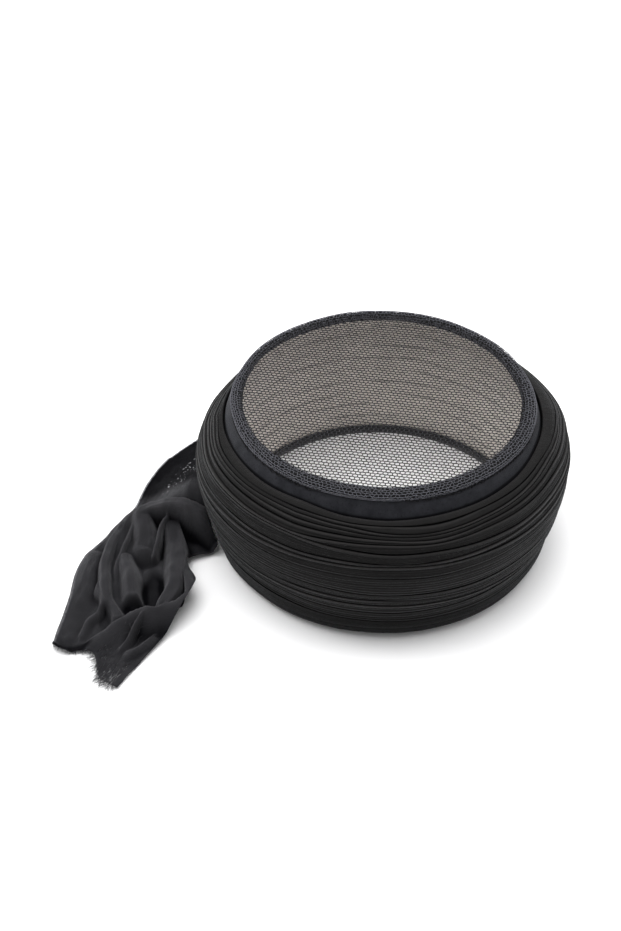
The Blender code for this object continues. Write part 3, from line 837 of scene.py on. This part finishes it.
def make_hem():
    """Padded ring under the edge of the net, drawn in a little all round by its stitches."""
    deselect()
    outer = band_outer_radius(CAP_HEIGHT)
    middle = outer - HEM_WIDTH / 2.0
    level = CAP_HEIGHT + CLEARANCE + HEM_HEIGHT / 2.0
    bpy.ops.mesh.primitive_torus_add(
        location=(AXIS_X, AXIS_Y, level),
        major_radius=middle,
        minor_radius=HEM_WIDTH / 2.0,
        major_segments=300,
        minor_segments=16,
    )
    piece = bpy.context.object
    piece.name = "crown_hem_roll"
    bpy.ops.object.mode_set(mode="EDIT")
    bpy.ops.mesh.select_all(action="SELECT")
    flatten = (1.0, HEAD_OVAL, HEM_HEIGHT / HEM_WIDTH)
    bpy.ops.transform.resize(value=flatten, center_override=(AXIS_X, AXIS_Y, level))
    bpy.ops.object.mode_set(mode="OBJECT")
    bpy.ops.object.transform_apply(location=True, rotation=True, scale=True)
    for vert in piece.data.vertices:
        offset = Vector((vert.co.x - AXIS_X, vert.co.y - AXIS_Y, 0.0))
        turn = atan2(offset.y, offset.x)
        degrees = math.degrees(turn)
        pucker = 0.10 * MM * sin(90.0 * turn) + 0.15 * MM * pleat_wave(degrees, 4, 9.0)
        inside = outer - hypot(offset.x, offset.y / HEAD_OVAL)
        inward = inside * (1.0 - line_value(HEM_SPREAD, degrees))
        vert.co += offset.normalized() * (inward - pucker + min(0.0, rim_sway(degrees)))
        vert.co.z -= 0.4 * abs(pucker)
    bpy.ops.object.shade_smooth()
    map_round(piece)
    finish = Finish("black padded hem", 0.78, sheen=0.05)
    flat = finish.where("UV")
    nap = finish.cloud(flat, 0.0012, 4.0)
    finish.colour(nap, (0.003, 0.003, 0.0035), (0.006, 0.006, 0.0065))
    finish.feed("Roughness", 0.7 + 0.2 * nap)
    finish.raise_by(nap, 0.0005, 0.7)
    finish_piece(piece, finish)
    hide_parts("crown_hem")


def make_band():
    """Smooth charcoal band round the rim, turned under at its top edge, with a painted shadow just under the
    winding's top edge.
    """
    low = WRAP_HEIGHT - BAND_TUCK
    heights = [low + (CAP_HEIGHT - low) * k / 36.0 for k in range(37)]
    outer = [(band_outer_radius(z), z) for z in heights]
    top_radius = band_outer_radius(CAP_HEIGHT)
    outer[-1] = (top_radius - 0.25 * MM, CAP_HEIGHT)
    outer[-2] = (band_outer_radius(heights[-2]) - 0.02 * MM, heights[-2])
    inner = [(cap_outer_radius(z) + CLEARANCE, z) for z in reversed(heights)]
    piece = turned_ring("rim_band_cloth", outer + inner, 300)
    for vert in piece.data.vertices:
        offset = Vector((vert.co.x - AXIS_X, vert.co.y - AXIS_Y, 0.0))
        turn = math.degrees(atan2(offset.y, offset.x))
        puff = 0.18 * MM * pleat_wave(turn, 41, 12.0) * ridge(vert.co.z - 0.092, 0.008)
        if offset.length > CAP_RADIUS * 0.9:
            vert.co += offset.normalized() * max(puff, -0.1 * MM)
    # Painted shadow on the band just below the winding's top edge, where the winding presses against it.
    painted_shadow = []
    for vert in piece.data.vertices:
        turn = math.degrees(atan2((vert.co.y - AXIS_Y) / HEAD_OVAL, vert.co.x - AXIS_X))
        painted_shadow.append(0.75 * smooth_step((wrap_top(turn) + 0.5 * MM - vert.co.z) / (1.1 * MM)))
    carry(piece, "crease", painted_shadow)
    map_round(piece)
    finish = Finish("charcoal cotton", 0.8, sheen=0.07, sheen_roughness=0.4, sheen_tint=(0.92, 0.95, 1.0))
    flat = finish.where("UV")
    weave = finish.weave(flat, 0.0005)
    cloth = finish.cloud(flat, 0.0011, 3.0)
    broad = finish.between(finish.cloud(finish.where(), 0.007, 3.0), 0.3, 0.7)
    stitch = finish.cloud(finish.stretched(flat, 1.6, 0.9), 0.0021, 1.0)
    cotton = finish.blend(0.5 * cloth + 0.5 * broad, (0.006, 0.0065, 0.0085), (0.027, 0.0275, 0.0325))
    stitch = 0.5 * finish.between(stitch, 0.62, 0.70)
    finish.colour(stitch, cotton, (0.004, 0.004, 0.005))
    finish.feed("Roughness", 0.72 + 0.14 * cloth)
    finish.raise_by(0.6 * weave + 0.4 * cloth, 0.00025, 0.7)
    finish.deepen(finish.carried("crease"), (0.0008, 0.0008, 0.0010))
    finish_piece(piece, finish)
    flat_size = (round(CAP_HEIGHT - low, 4), round(tau * band_outer_radius(low), 4))
    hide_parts("rim_band")


def make_lining():
    """Stiff cap wall, its warm grey lining inside."""
    heights = [0.0, 0.012, 0.024, 0.036, 0.048, 0.060, 0.072]
    heights += [CAP_HEIGHT - SHOULDER_HEIGHT * (1.0 - k / 10.0) for k in range(11)]
    outer = [(cap_outer_radius(z), min(z, CAP_HEIGHT - 1.2 * MM)) for z in heights]
    inner = [(cap_inner_radius(z), z) for z in reversed(heights)]
    piece = turned_ring("cap_lining", outer + inner, 240)
    map_round(piece)
    finish = Finish("warm grey lining", 0.85, sheen=0.2)
    flat = finish.where("UV")
    weave = finish.weave(flat, 0.0006)
    slub = finish.cloud(finish.stretched(flat, 0.12, 1.0), 0.0032, 3.0)
    broad = finish.cloud(finish.where(), 0.03, 2.0)
    crease = finish.cloud(finish.stretched(flat, 0.12, 1.0), 0.0060, 1.0)
    cloth = finish.blend(0.55 * slub + 0.45 * broad, (0.58, 0.540, 0.50), (0.84, 0.790, 0.735))
    arcs = finish.between(finish.threads(flat, "Y", 0.0095, 1.6), 0.91, 0.995)
    arcs = arcs * finish.between(crease, 0.40, 0.56)
    finish.colour(0.6 * arcs, cloth, (0.15, 0.14, 0.13))
    finish.feed("Roughness", 0.8 + 0.1 * broad)
    finish.raise_by(0.5 * weave + 0.5 * slub, 0.0004, 0.6)
    finish_piece(piece, finish)
    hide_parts("cap_wall")


def make_binding():
    """Dark binding inside the lower edge of the cap, with a rounded upper edge."""
    outer = CAP_RADIUS - CLEARANCE
    inner = outer - BINDING_WALL
    round_off = BINDING_WALL / 2.0
    outline = [(outer, 0.0), (outer, BINDING_HEIGHT * 0.5), (outer, BINDING_HEIGHT - round_off)]
    for k in range(7):
        turn = pi * k / 6.0
        radius = outer - round_off + round_off * cos(turn)
        outline.append((radius, BINDING_HEIGHT - round_off + round_off * sin(turn)))
    outline += [(inner, BINDING_HEIGHT * 0.5), (inner, 0.0)]
    piece = turned_ring("base_binding_tape", outline, 240)
    map_round(piece)
    finish = Finish("black binding", 0.8, sheen=0.3)
    flat = finish.where("UV")
    rib = finish.threads(flat, "X", 0.0009)
    nap = finish.cloud(flat, 0.0015, 3.0)
    finish.colour(nap, (0.010, 0.010, 0.011), (0.022, 0.022, 0.024))
    finish.feed("Roughness", 0.7 + 0.2 * nap)
    finish.raise_by(0.5 * rib + 0.5 * nap, 0.0003, 0.7)
    finish_piece(piece, finish)
    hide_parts("base_binding")


# Stations of the free end, from the winding to its cut edge. Columns: angle of the near edge round the
# turban, its distance from the winding as a share of TAIL_WIDTH, its height as a share of TAIL_RISE, and
# the same three for the far edge
TAIL_STATIONS = (
    (112.0, 0.00, 1.26, 112.0, 0.02, 0.90),
    (123.0, 0.00, 1.12, 124.0, 0.12, 0.55),
    (134.0, 0.00, 0.74, 135.0, 0.30, 0.12),
    (146.0, 0.00, 0.34, 146.0, 0.41, 0.02),
    (158.0, 0.00, 0.26, 156.0, 0.49, 0.00),
    (170.0, 0.00, 0.52, 166.0, 0.53, 0.00),
    (180.0, 0.00, 0.66, 176.0, 0.57, 0.00),
    (189.0, 0.00, 0.24, 184.0, 0.74, 0.00),
    (195.5, 0.03, 0.04, 190.0, 0.95, 0.00),
    (197.5, 0.26, 0.10, 194.5, 1.06, 0.00),
    (205.0, 0.33, 0.14, 200.5, 1.16, 0.00),
    (211.0, 0.36, 0.12, 204.5, 1.27, 0.00),
    (217.0, 0.65, 0.08, 207.5, 1.38, 0.00),
    (222.7, 1.46, 0.00, 209.3, 1.45, 0.00),
)

# Folds of the free end, each along a path over the floor. Columns: name, points of its crest as x, y and
# height in mm from the middle of the turban, width in mm of its slope to the left and to the right of the
# path, and half width in mm of its flat top
TAIL_CRESTS = (
    ("arched roll", ((-162, -21, 7), (-157, -13, 14), (-148, -8, 20), (-137, -9, 25), (-124, -13, 28),
     (-113, -18, 27), (-105, -23, 20), (-102, -26, 8)), 14.0, 6.5, 2.5),
    ("falling panel", ((-150, -12, 18), (-148, -24, 16), (-147, -32, 13.5),
     (-148, -37, 11.5)), 11.0, 11.0, 3.4),
    ("small fold", ((-141, -42, 10), (-139, -32, 14), (-137, -22, 17), (-133, -15, 19)), 5.0, 3.5, 0.4),
    ("light panel", ((-130, -18, 16), (-128, -31, 12.5), (-126, -46, 12.5), (-125, -62, 16),
     (-126, -76, 16.5), (-130, -88, 15)), 4.5, 8.0, 3.6),
    ("arm", ((-122, -56, 13), (-118, -72, 17), (-118, -84, 17), (-124, -92, 16), (-135, -94, 14.5),
     (-146, -94, 12.5), (-155, -98, 9), (-165, -105, 6), (-174, -112, 3.5)), 18.0, 3.0, 1.0),
    ("lobe", ((-158, -46, 12), (-156, -56, 14.5), (-153, -70, 15.5), (-151, -80, 12.5)), 8.0, 9.0, 1.8),
    ("long fold", ((-160, -8, 10), (-167, -27, 11), (-170, -48, 12), (-170, -65, 12), (-166, -81, 10),
     (-160, -95, 7)), 5.5, 4.5, 1.8),
    ("inner long fold", ((-154, -9, 14), (-158, -29, 13), (-161, -42, 11.5), (-163, -55, 9.5),
     (-163, -68, 7)), 3.5, 4.0, 0.6),
    ("gathered edge", ((-172, -56, 8), (-174, -70, 8), (-169, -80, 9.5), (-171, -92, 8),
     (-177, -98, 6), (-180, -106, 3)), 5.0, 2.5, 0.6),
    ("left flap", ((-178, -38, 5), (-183, -63, 5), (-188, -86, 4.5), (-190, -107, 3.5)), 9.0, 9.0, 2.0),
    ("body", ((-156, -14, 11), (-160, -45, 8), (-160, -75, 7), (-163, -95, 4)), 12.0, 12.0, 5.0),
    ("short crease fold", ((-144, -98, 13), (-149, -107, 10), (-152, -114, 6),
     (-155, -118, 3)), 4.0, 2.0, 0.5),
    ("low fold", ((-137, -111, 6.5), (-143, -117, 6), (-151, -122, 4)), 3.5, 3.5, 0.6),
    ("rolled hem", ((-197, -112, 3), (-191, -118, 4), (-184, -123, 4.5), (-179, -123, 4.2),
     (-175, -119, 3)), 2.5, 2.5, 0.5),
    ("bulge at the arm", ((-115, -45, 3), (-116, -63, 6), (-119, -76, 5)), 5.0, 6.0, 1.0),
)

# Hollows between the folds, and patches of painted shade. Columns: name, middle x and y in mm from the middle
# of the turban, half length in mm along y and half width in mm along x, how much of the cloth's height is
# lost, and how dark its painted shade is
TAIL_HOLLOWS = (
    ("open hollow", -140, -70, 23.0, 9.0, 0.70, 0.62),
    ("hollow under the lobe", -149, -88, 7.0, 11.0, 0.50, 0.62),
    ("hollow by the gathers", -167, -95, 12.0, 5.0, 0.25, 0.4),
    ("shade on the arm", -137, -103, 13.0, 27.0, 0.0, 0.22),
    ("shade by the winding", -102, -38, 24.0, 16.0, 0.10, 0.36),
)
TAIL_ROWS = 250
TAIL_COLUMNS = 150


def crest_path(row):
    """A fold's crest as a smooth path in metres, with the widths of its slopes and the bounds of the fold."""
    name, points, left, right, flat = row
    steps = 5 * (len(points) - 1)
    columns = [[value * MM for value in column] for column in zip(*points)]
    path = [[curve_value(column, k / steps) for column in columns] for k in range(steps + 1)]
    reach = (max(left, right) + flat) * MM
    bounds = [min(p[0] for p in path) - reach, max(p[0] for p in path) + reach]
    bounds += [min(p[1] for p in path) - reach, max(p[1] for p in path) + reach]
    return path, left * MM, right * MM, flat * MM, bounds


TAIL_PATHS = [crest_path(row) for row in TAIL_CRESTS]


def crest_height(x, y, crest):
    """Height of one fold above the floor at a place."""
    path, left, right, flat, bounds = crest
    if not (bounds[0] < x < bounds[1] and bounds[2] < y < bounds[3]):
        return 0.0
    near = 1.0
    beside = 0.0
    top = 0.0
    for (x0, y0, z0), (x1, y1, z1) in zip(path, path[1:]):
        run_x = x1 - x0
        run_y = y1 - y0
        part = ((x - x0) * run_x + (y - y0) * run_y) / (run_x * run_x + run_y * run_y)
        part = min(1.0, max(0.0, part))
        gap = hypot(x - x0 - run_x * part, y - y0 - run_y * part)
        if gap < near:
            near = gap
            beside = run_x * (y - y0) - run_y * (x - x0)
            top = z0 + (z1 - z0) * part
    share = max(0.0, near - flat) / (left if beside > 0.0 else right)
    return top * (0.5 * (1.0 - share) + 0.25 + 0.25 * cos(pi * share)) if share < 1.0 else 0.0


def hollow_at(x, y):
    """How much the hollows take from the cloth's height at a place, and their shade there."""
    taken = 0.0
    dark = 0.0
    for name, middle_x, middle_y, half_length, half_width, loss, shade in TAIL_HOLLOWS:
        away = hypot((x / MM - middle_x) / half_width, (y / MM - middle_y) / half_length)
        inside = smooth_step((1.0 - away) / 0.45)
        taken = max(taken, loss * inside)
        dark = max(dark, shade * inside)
    return taken, dark


def soft_over(first, second, soft):
    """The higher of two heights, rounded where they meet."""
    meet = max(soft - abs(first - second), 0.0) / soft
    return max(first, second) + meet * meet * soft * 0.25


def wrap_reach(height):
    """Largest radius of the winding at or below a height."""
    top = WRAP_HEIGHT * 0.91
    return max(wrap_radius(min(1.0, height / top) * k / 20.0) for k in range(21)) + 1.0 * MM


REACH = [wrap_reach(k * MM) for k in range(91)]


def reach_at(height):
    """Read the reach of the winding at a height."""
    place = min(max(height / MM, 0.0), 89.0)
    low = int(place)
    return REACH[low] + (REACH[low + 1] - REACH[low]) * (place - low)


def tail_point(along, across):
    """One point of the free end, held out by the winding and lifted by its folds."""
    drawn = along * (1.0 - 0.035 * ridge(across - 0.6, 0.4))
    columns = [curve_value([row[column] for row in TAIL_STATIONS], drawn) for column in range(6)]
    near_turn, near_out, near_height, far_turn, far_out, far_height = columns
    turn = near_turn + (far_turn - near_turn) * across
    base = near_height + (far_height - near_height) * smooth_step(across)
    height = TAIL_RISE * max(base, 0.0)
    near = reach_at(TAIL_RISE * max(near_height, 0.0) + 0.0016) + max(near_out, 0.0) * TAIL_WIDTH
    far = reach_at(WRAP_HEIGHT) + far_out * TAIL_WIDTH
    radius = near + (far - near) * across
    point = spot(radius, turn, 0.0)
    soft = smooth_step(along * 8.0) * smooth_step((1.0 - across) * 10.0)
    x = point.x - AXIS_X + 1.2 * MM * ripple(point.x / 0.015, point.y / 0.015, seed=13)
    y = point.y - AXIS_Y + 1.2 * MM * ripple(point.x / 0.015, point.y / 0.015, seed=14)
    if along > 0.3:
        for crest in TAIL_PATHS:
            height = soft_over(height, crest_height(x, y, crest), TAIL_SOFT_MEETING)
        height *= 1.0 - hollow_at(x, y)[0]
    radius = max(radius, reach_at(height + 0.0016)) + CLEARANCE
    point = spot(radius, turn, height + 0.0006)
    point.z += TAIL_RIPPLE * soft * ripple(point.x / 0.011, point.y / 0.014, seed=11)
    point.z += TAIL_FINE_RIPPLE * soft * ripple(point.x / 0.0045, point.y / 0.008, seed=12)
    point.z = max(point.z, 0.0006)
    return point


def averaged(values, reach):
    """Running mean of a row of values."""
    sums = [0.0]
    for value in values:
        sums.append(sums[-1] + value)
    last = len(values)
    ends = [(max(0, k - reach), min(last, k + reach + 1)) for k in range(last)]
    return [(sums[high] - sums[low]) / (high - low) for low, high in ends]


def hollows(rows):
    """How far each point of the sheet lies below the cloth around it, in metres."""
    across = [averaged([point.z for point in row], 9) for row in rows]
    columns = [averaged(list(column), 6) for column in zip(*across)]
    return [columns[k][i] - point.z for i, row in enumerate(rows) for k, point in enumerate(row)]


def gauze_finish():
    """Soft black gauze, worn to loose threads at its cut corner, with painted highlights on raised folds and
    painted shade in its hollows.
    """
    finish = Finish("black gauze", 0.85, sheen=0.12, sheen_roughness=0.45, sheen_tint=(0.95, 0.95, 1.0))
    flat = finish.where("UV")
    weave = finish.weave(flat, 0.0008)
    crinkle = finish.cloud(finish.stretched(flat, 0.6, 1.0), 0.0014, 4.0, 0.65)
    broad = finish.cloud(finish.where(), 0.016, 2.0)
    along = finish.split(flat, 0)
    across = finish.split(flat, 1)
    cloth = finish.blend(0.5 * crinkle + 0.5 * broad, (0.0072, 0.0072, 0.0086), (0.0172, 0.0168, 0.019))
    cloth = finish.blend(0.75 * finish.between(along, 0.185, 0.150), cloth, (0.0035, 0.0035, 0.0045))
    # Painted highlight on the raised folds.
    cloth = finish.blend(0.5 * finish.carried("edge"), cloth, (0.034, 0.033, 0.036))
    fleck = finish.between(finish.cloud(finish.where(), 0.0018, 1.0, 0.4), 0.67, 0.71)
    place = finish.between(along, 0.085, 0.10) * finish.between(along, 0.165, 0.15)
    place = place * finish.between(across, 0.05, 0.07) * finish.between(across, 0.14, 0.12)
    rim = finish.between(across, 0.1945, 0.1965) * finish.between(finish.cloud(flat, 0.0025, 1.0), 0.36, 0.50)
    rim = rim * (0.18 + 0.55 * finish.between(along, 0.19, 0.16))
    finish.colour((fleck * place + rim).clamp(), cloth, (0.42, 0.42, 0.44))
    finish.feed("Roughness", 0.78 + 0.14 * crinkle)
    finish.raise_by(0.6 * crinkle + 0.4 * weave, 0.0005, 0.8)
    # Painted shade in hollows and cavities takes over by the crease mask, which also carries the darker
    # rolled hem and back panel.
    finish.deepen((finish.carried("crease") - fleck * place - rim).clamp(), (0.0012, 0.0012, 0.0016))
    strands = finish.cloud(finish.stretched(flat, 0.35, 1.0), 0.0011, 1.0)
    finish.see_through(finish.between(strands - 0.47 * finish.carried("frayed"), 0.01, 0.08))
    return finish


def make_tail():
    """Free end of the cloth: soft gauze in folds on the floor."""
    rows = []
    for i in range(TAIL_ROWS + 1):
        rows.append([tail_point(i / TAIL_ROWS, k / TAIL_COLUMNS) for k in range(TAIL_COLUMNS + 1)])

    def metres(i, k):
        return i / TAIL_ROWS * TAIL_MAP_LENGTH, k / TAIL_COLUMNS * TAIL_MAP_WIDTH

    piece = cloth_mesh("tail_gauze_cloth", rows, False, metres)
    depths = hollows(rows)
    shares = [(i / TAIL_ROWS, k / TAIL_COLUMNS) for i, row in enumerate(rows) for k in range(len(row))]
    creases = []
    worn = []
    # The crease values are painted shade: how far a point lies below the cloth around it, and the painted
    # shade of the hollows; the darker rolled hem and back panel go in with them.
    for depth, (along, across), point in zip(depths, shares, (point for row in rows for point in row)):
        hem = smooth_step((along - 0.968) / 0.02) * smooth_step((across - 0.62) / 0.05)
        dark = hollow_at(point.x - AXIS_X, point.y - AXIS_Y)[1] if along > 0.4 else 0.0
        back = 0.78 * smooth_step((0.46 - along) / 0.05)
        creases.append(min(0.95, max(0.0, depth - 0.3 * MM) / (4.0 * MM) + 0.85 * hem + back + dark))
        edge = smooth_step((along - 0.935) / 0.05) * smooth_step((0.60 - across) / 0.1)
        edge *= smooth_step((across - 0.05) / 0.04)
        worn.append(edge * (1.0 - 0.6 * across))
    # Raised places take a painted highlight.
    lights = [min(1.0, max(0.0, -depth) / (4.0 * MM)) for depth in depths]
    for name, values in (("crease", creases), ("edge", lights), ("frayed", worn)):
        carry(piece, name, values)
    apply_modifier(piece, "SOLIDIFY", thickness=TAIL_CLOTH, offset=0.0)
    finish_piece(piece, gauze_finish())
    fringe = make_fringe(rows)
    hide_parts("tail")


def make_fringe(rows):
    """Loose threads along the cut edge of the free end."""
    chance = random.Random(5)
    cage = bmesh.new()
    starts = [(TAIL_ROWS, chance.uniform(0.06, 0.62), chance.uniform(3.0, 6.5)) for _ in range(110)]
    starts += [(TAIL_ROWS, chance.uniform(0.62, 0.99), chance.uniform(1.2, 3.2)) for _ in range(60)]
    for _ in range(50):
        row = chance.randint(TAIL_ROWS - 18, TAIL_ROWS - 1)
        starts.append((row, chance.uniform(0.2, 0.5), chance.uniform(4.0, 8.0)))
    for row, share, length in starts:
        column = int(share * TAIL_COLUMNS)
        start = rows[row][column]
        away = (start - rows[row - 6][column]).normalized()
        turn = chance.uniform(-0.9, 0.9)
        bend = chance.uniform(-0.25, 0.25)
        ring = []
        point = start.copy()
        for step in range(6):
            heading = turn + bend * step
            east = cos(heading)
            north = sin(heading)
            run = Vector((away.x * east - away.y * north, away.x * north + away.y * east, 0.0))
            side = Vector((-run.y, run.x, 0.0)) * 0.09 * MM
            up = Vector((0.0, 0.0, 0.15 * MM))
            next_ring = [cage.verts.new(point + offset) for offset in (side, up, -side)]
            for k in range(3 if ring else 0):
                cage.faces.new((ring[k], ring[(k + 1) % 3], next_ring[(k + 1) % 3], next_ring[k]))
            if not ring:
                cage.faces.new(next_ring)
            ring = next_ring
            point = point + run * length * MM / 5.0
            point.z = max(0.0004, point.z + chance.uniform(-0.5, 0.4) * MM)
        cage.faces.new(reversed(ring))
    bmesh.ops.recalc_face_normals(cage, faces=cage.faces)
    piece = piece_from("tail_fringe", cage)
    finish = Finish("loose black threads", 0.85, sheen=0.05)
    tone = finish.cloud(finish.where(), 0.002, 2.0)
    finish.colour(tone, (0.010, 0.010, 0.012), (0.045, 0.045, 0.050))
    finish_piece(piece, finish)
    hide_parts("tail")
    return piece


def make_stage():
    """Plain pale floor, soft studio light and the camera."""
    deselect()
    bpy.ops.mesh.primitive_plane_add(size=8.0, location=(0.0, 0.0, -0.0002))
    floor = bpy.context.object
    floor.name = "floor"
    paint = Finish("pale floor", 0.9)
    dust = paint.cloud(paint.where(), 0.5, 2.0)
    paint.colour(dust, (0.93, 0.93, 0.935), (0.95, 0.95, 0.955))
    floor.data.materials.append(paint.material)
    world = bpy.data.worlds.new("pale studio")
    bpy.context.scene.world = world
    world.use_nodes = True
    world.node_tree.nodes["Background"].inputs["Color"].default_value = (1.0, 1.0, 1.0, 1.0)
    world.node_tree.nodes["Background"].inputs["Strength"].default_value = 0.55
    bpy.context.scene.view_settings.view_transform = "Standard"
    for name, place, size, power in (
        ("overhead softbox", (-0.2, 0.3, 2.0), 2.6, 83.0),
        ("left softbox", (-1.6, 0.3, 0.9), 1.0, 7.0),
        ("right softbox", (1.6, 0.3, 0.9), 1.0, 7.0),
    ):
        lamp = bpy.data.lights.new(name, "AREA")
        lamp.size = size
        lamp.energy = power
        light = bpy.data.objects.new(name, lamp)
        light.location = place
        aim = Vector((AXIS_X, AXIS_Y, 0.05)) - Vector(place)
        light.rotation_euler = aim.to_track_quat("-Z", "Y").to_euler()
        bpy.context.scene.collection.objects.link(light)
    view = bpy.data.cameras.new("camera")
    view.lens = FOCAL_PIXELS / PICTURE_HEIGHT * 36.0
    view.sensor_width = 36.0
    view.sensor_fit = "AUTO"
    camera = bpy.data.objects.new("camera", view)
    camera.location = Vector((AXIS_X, AXIS_Y, 0.0)) + Vector(CAMERA_PLACE)
    camera.rotation_euler = (radians(90.0 - LOOK_DOWN), 0.0, 0.0)
    bpy.context.scene.collection.objects.link(camera)
    bpy.context.scene.camera = camera


make_stage()
make_hem()
make_net()
make_net_edge()
make_band()
make_lining()
make_binding()
make_wound_cloth()
make_tail()
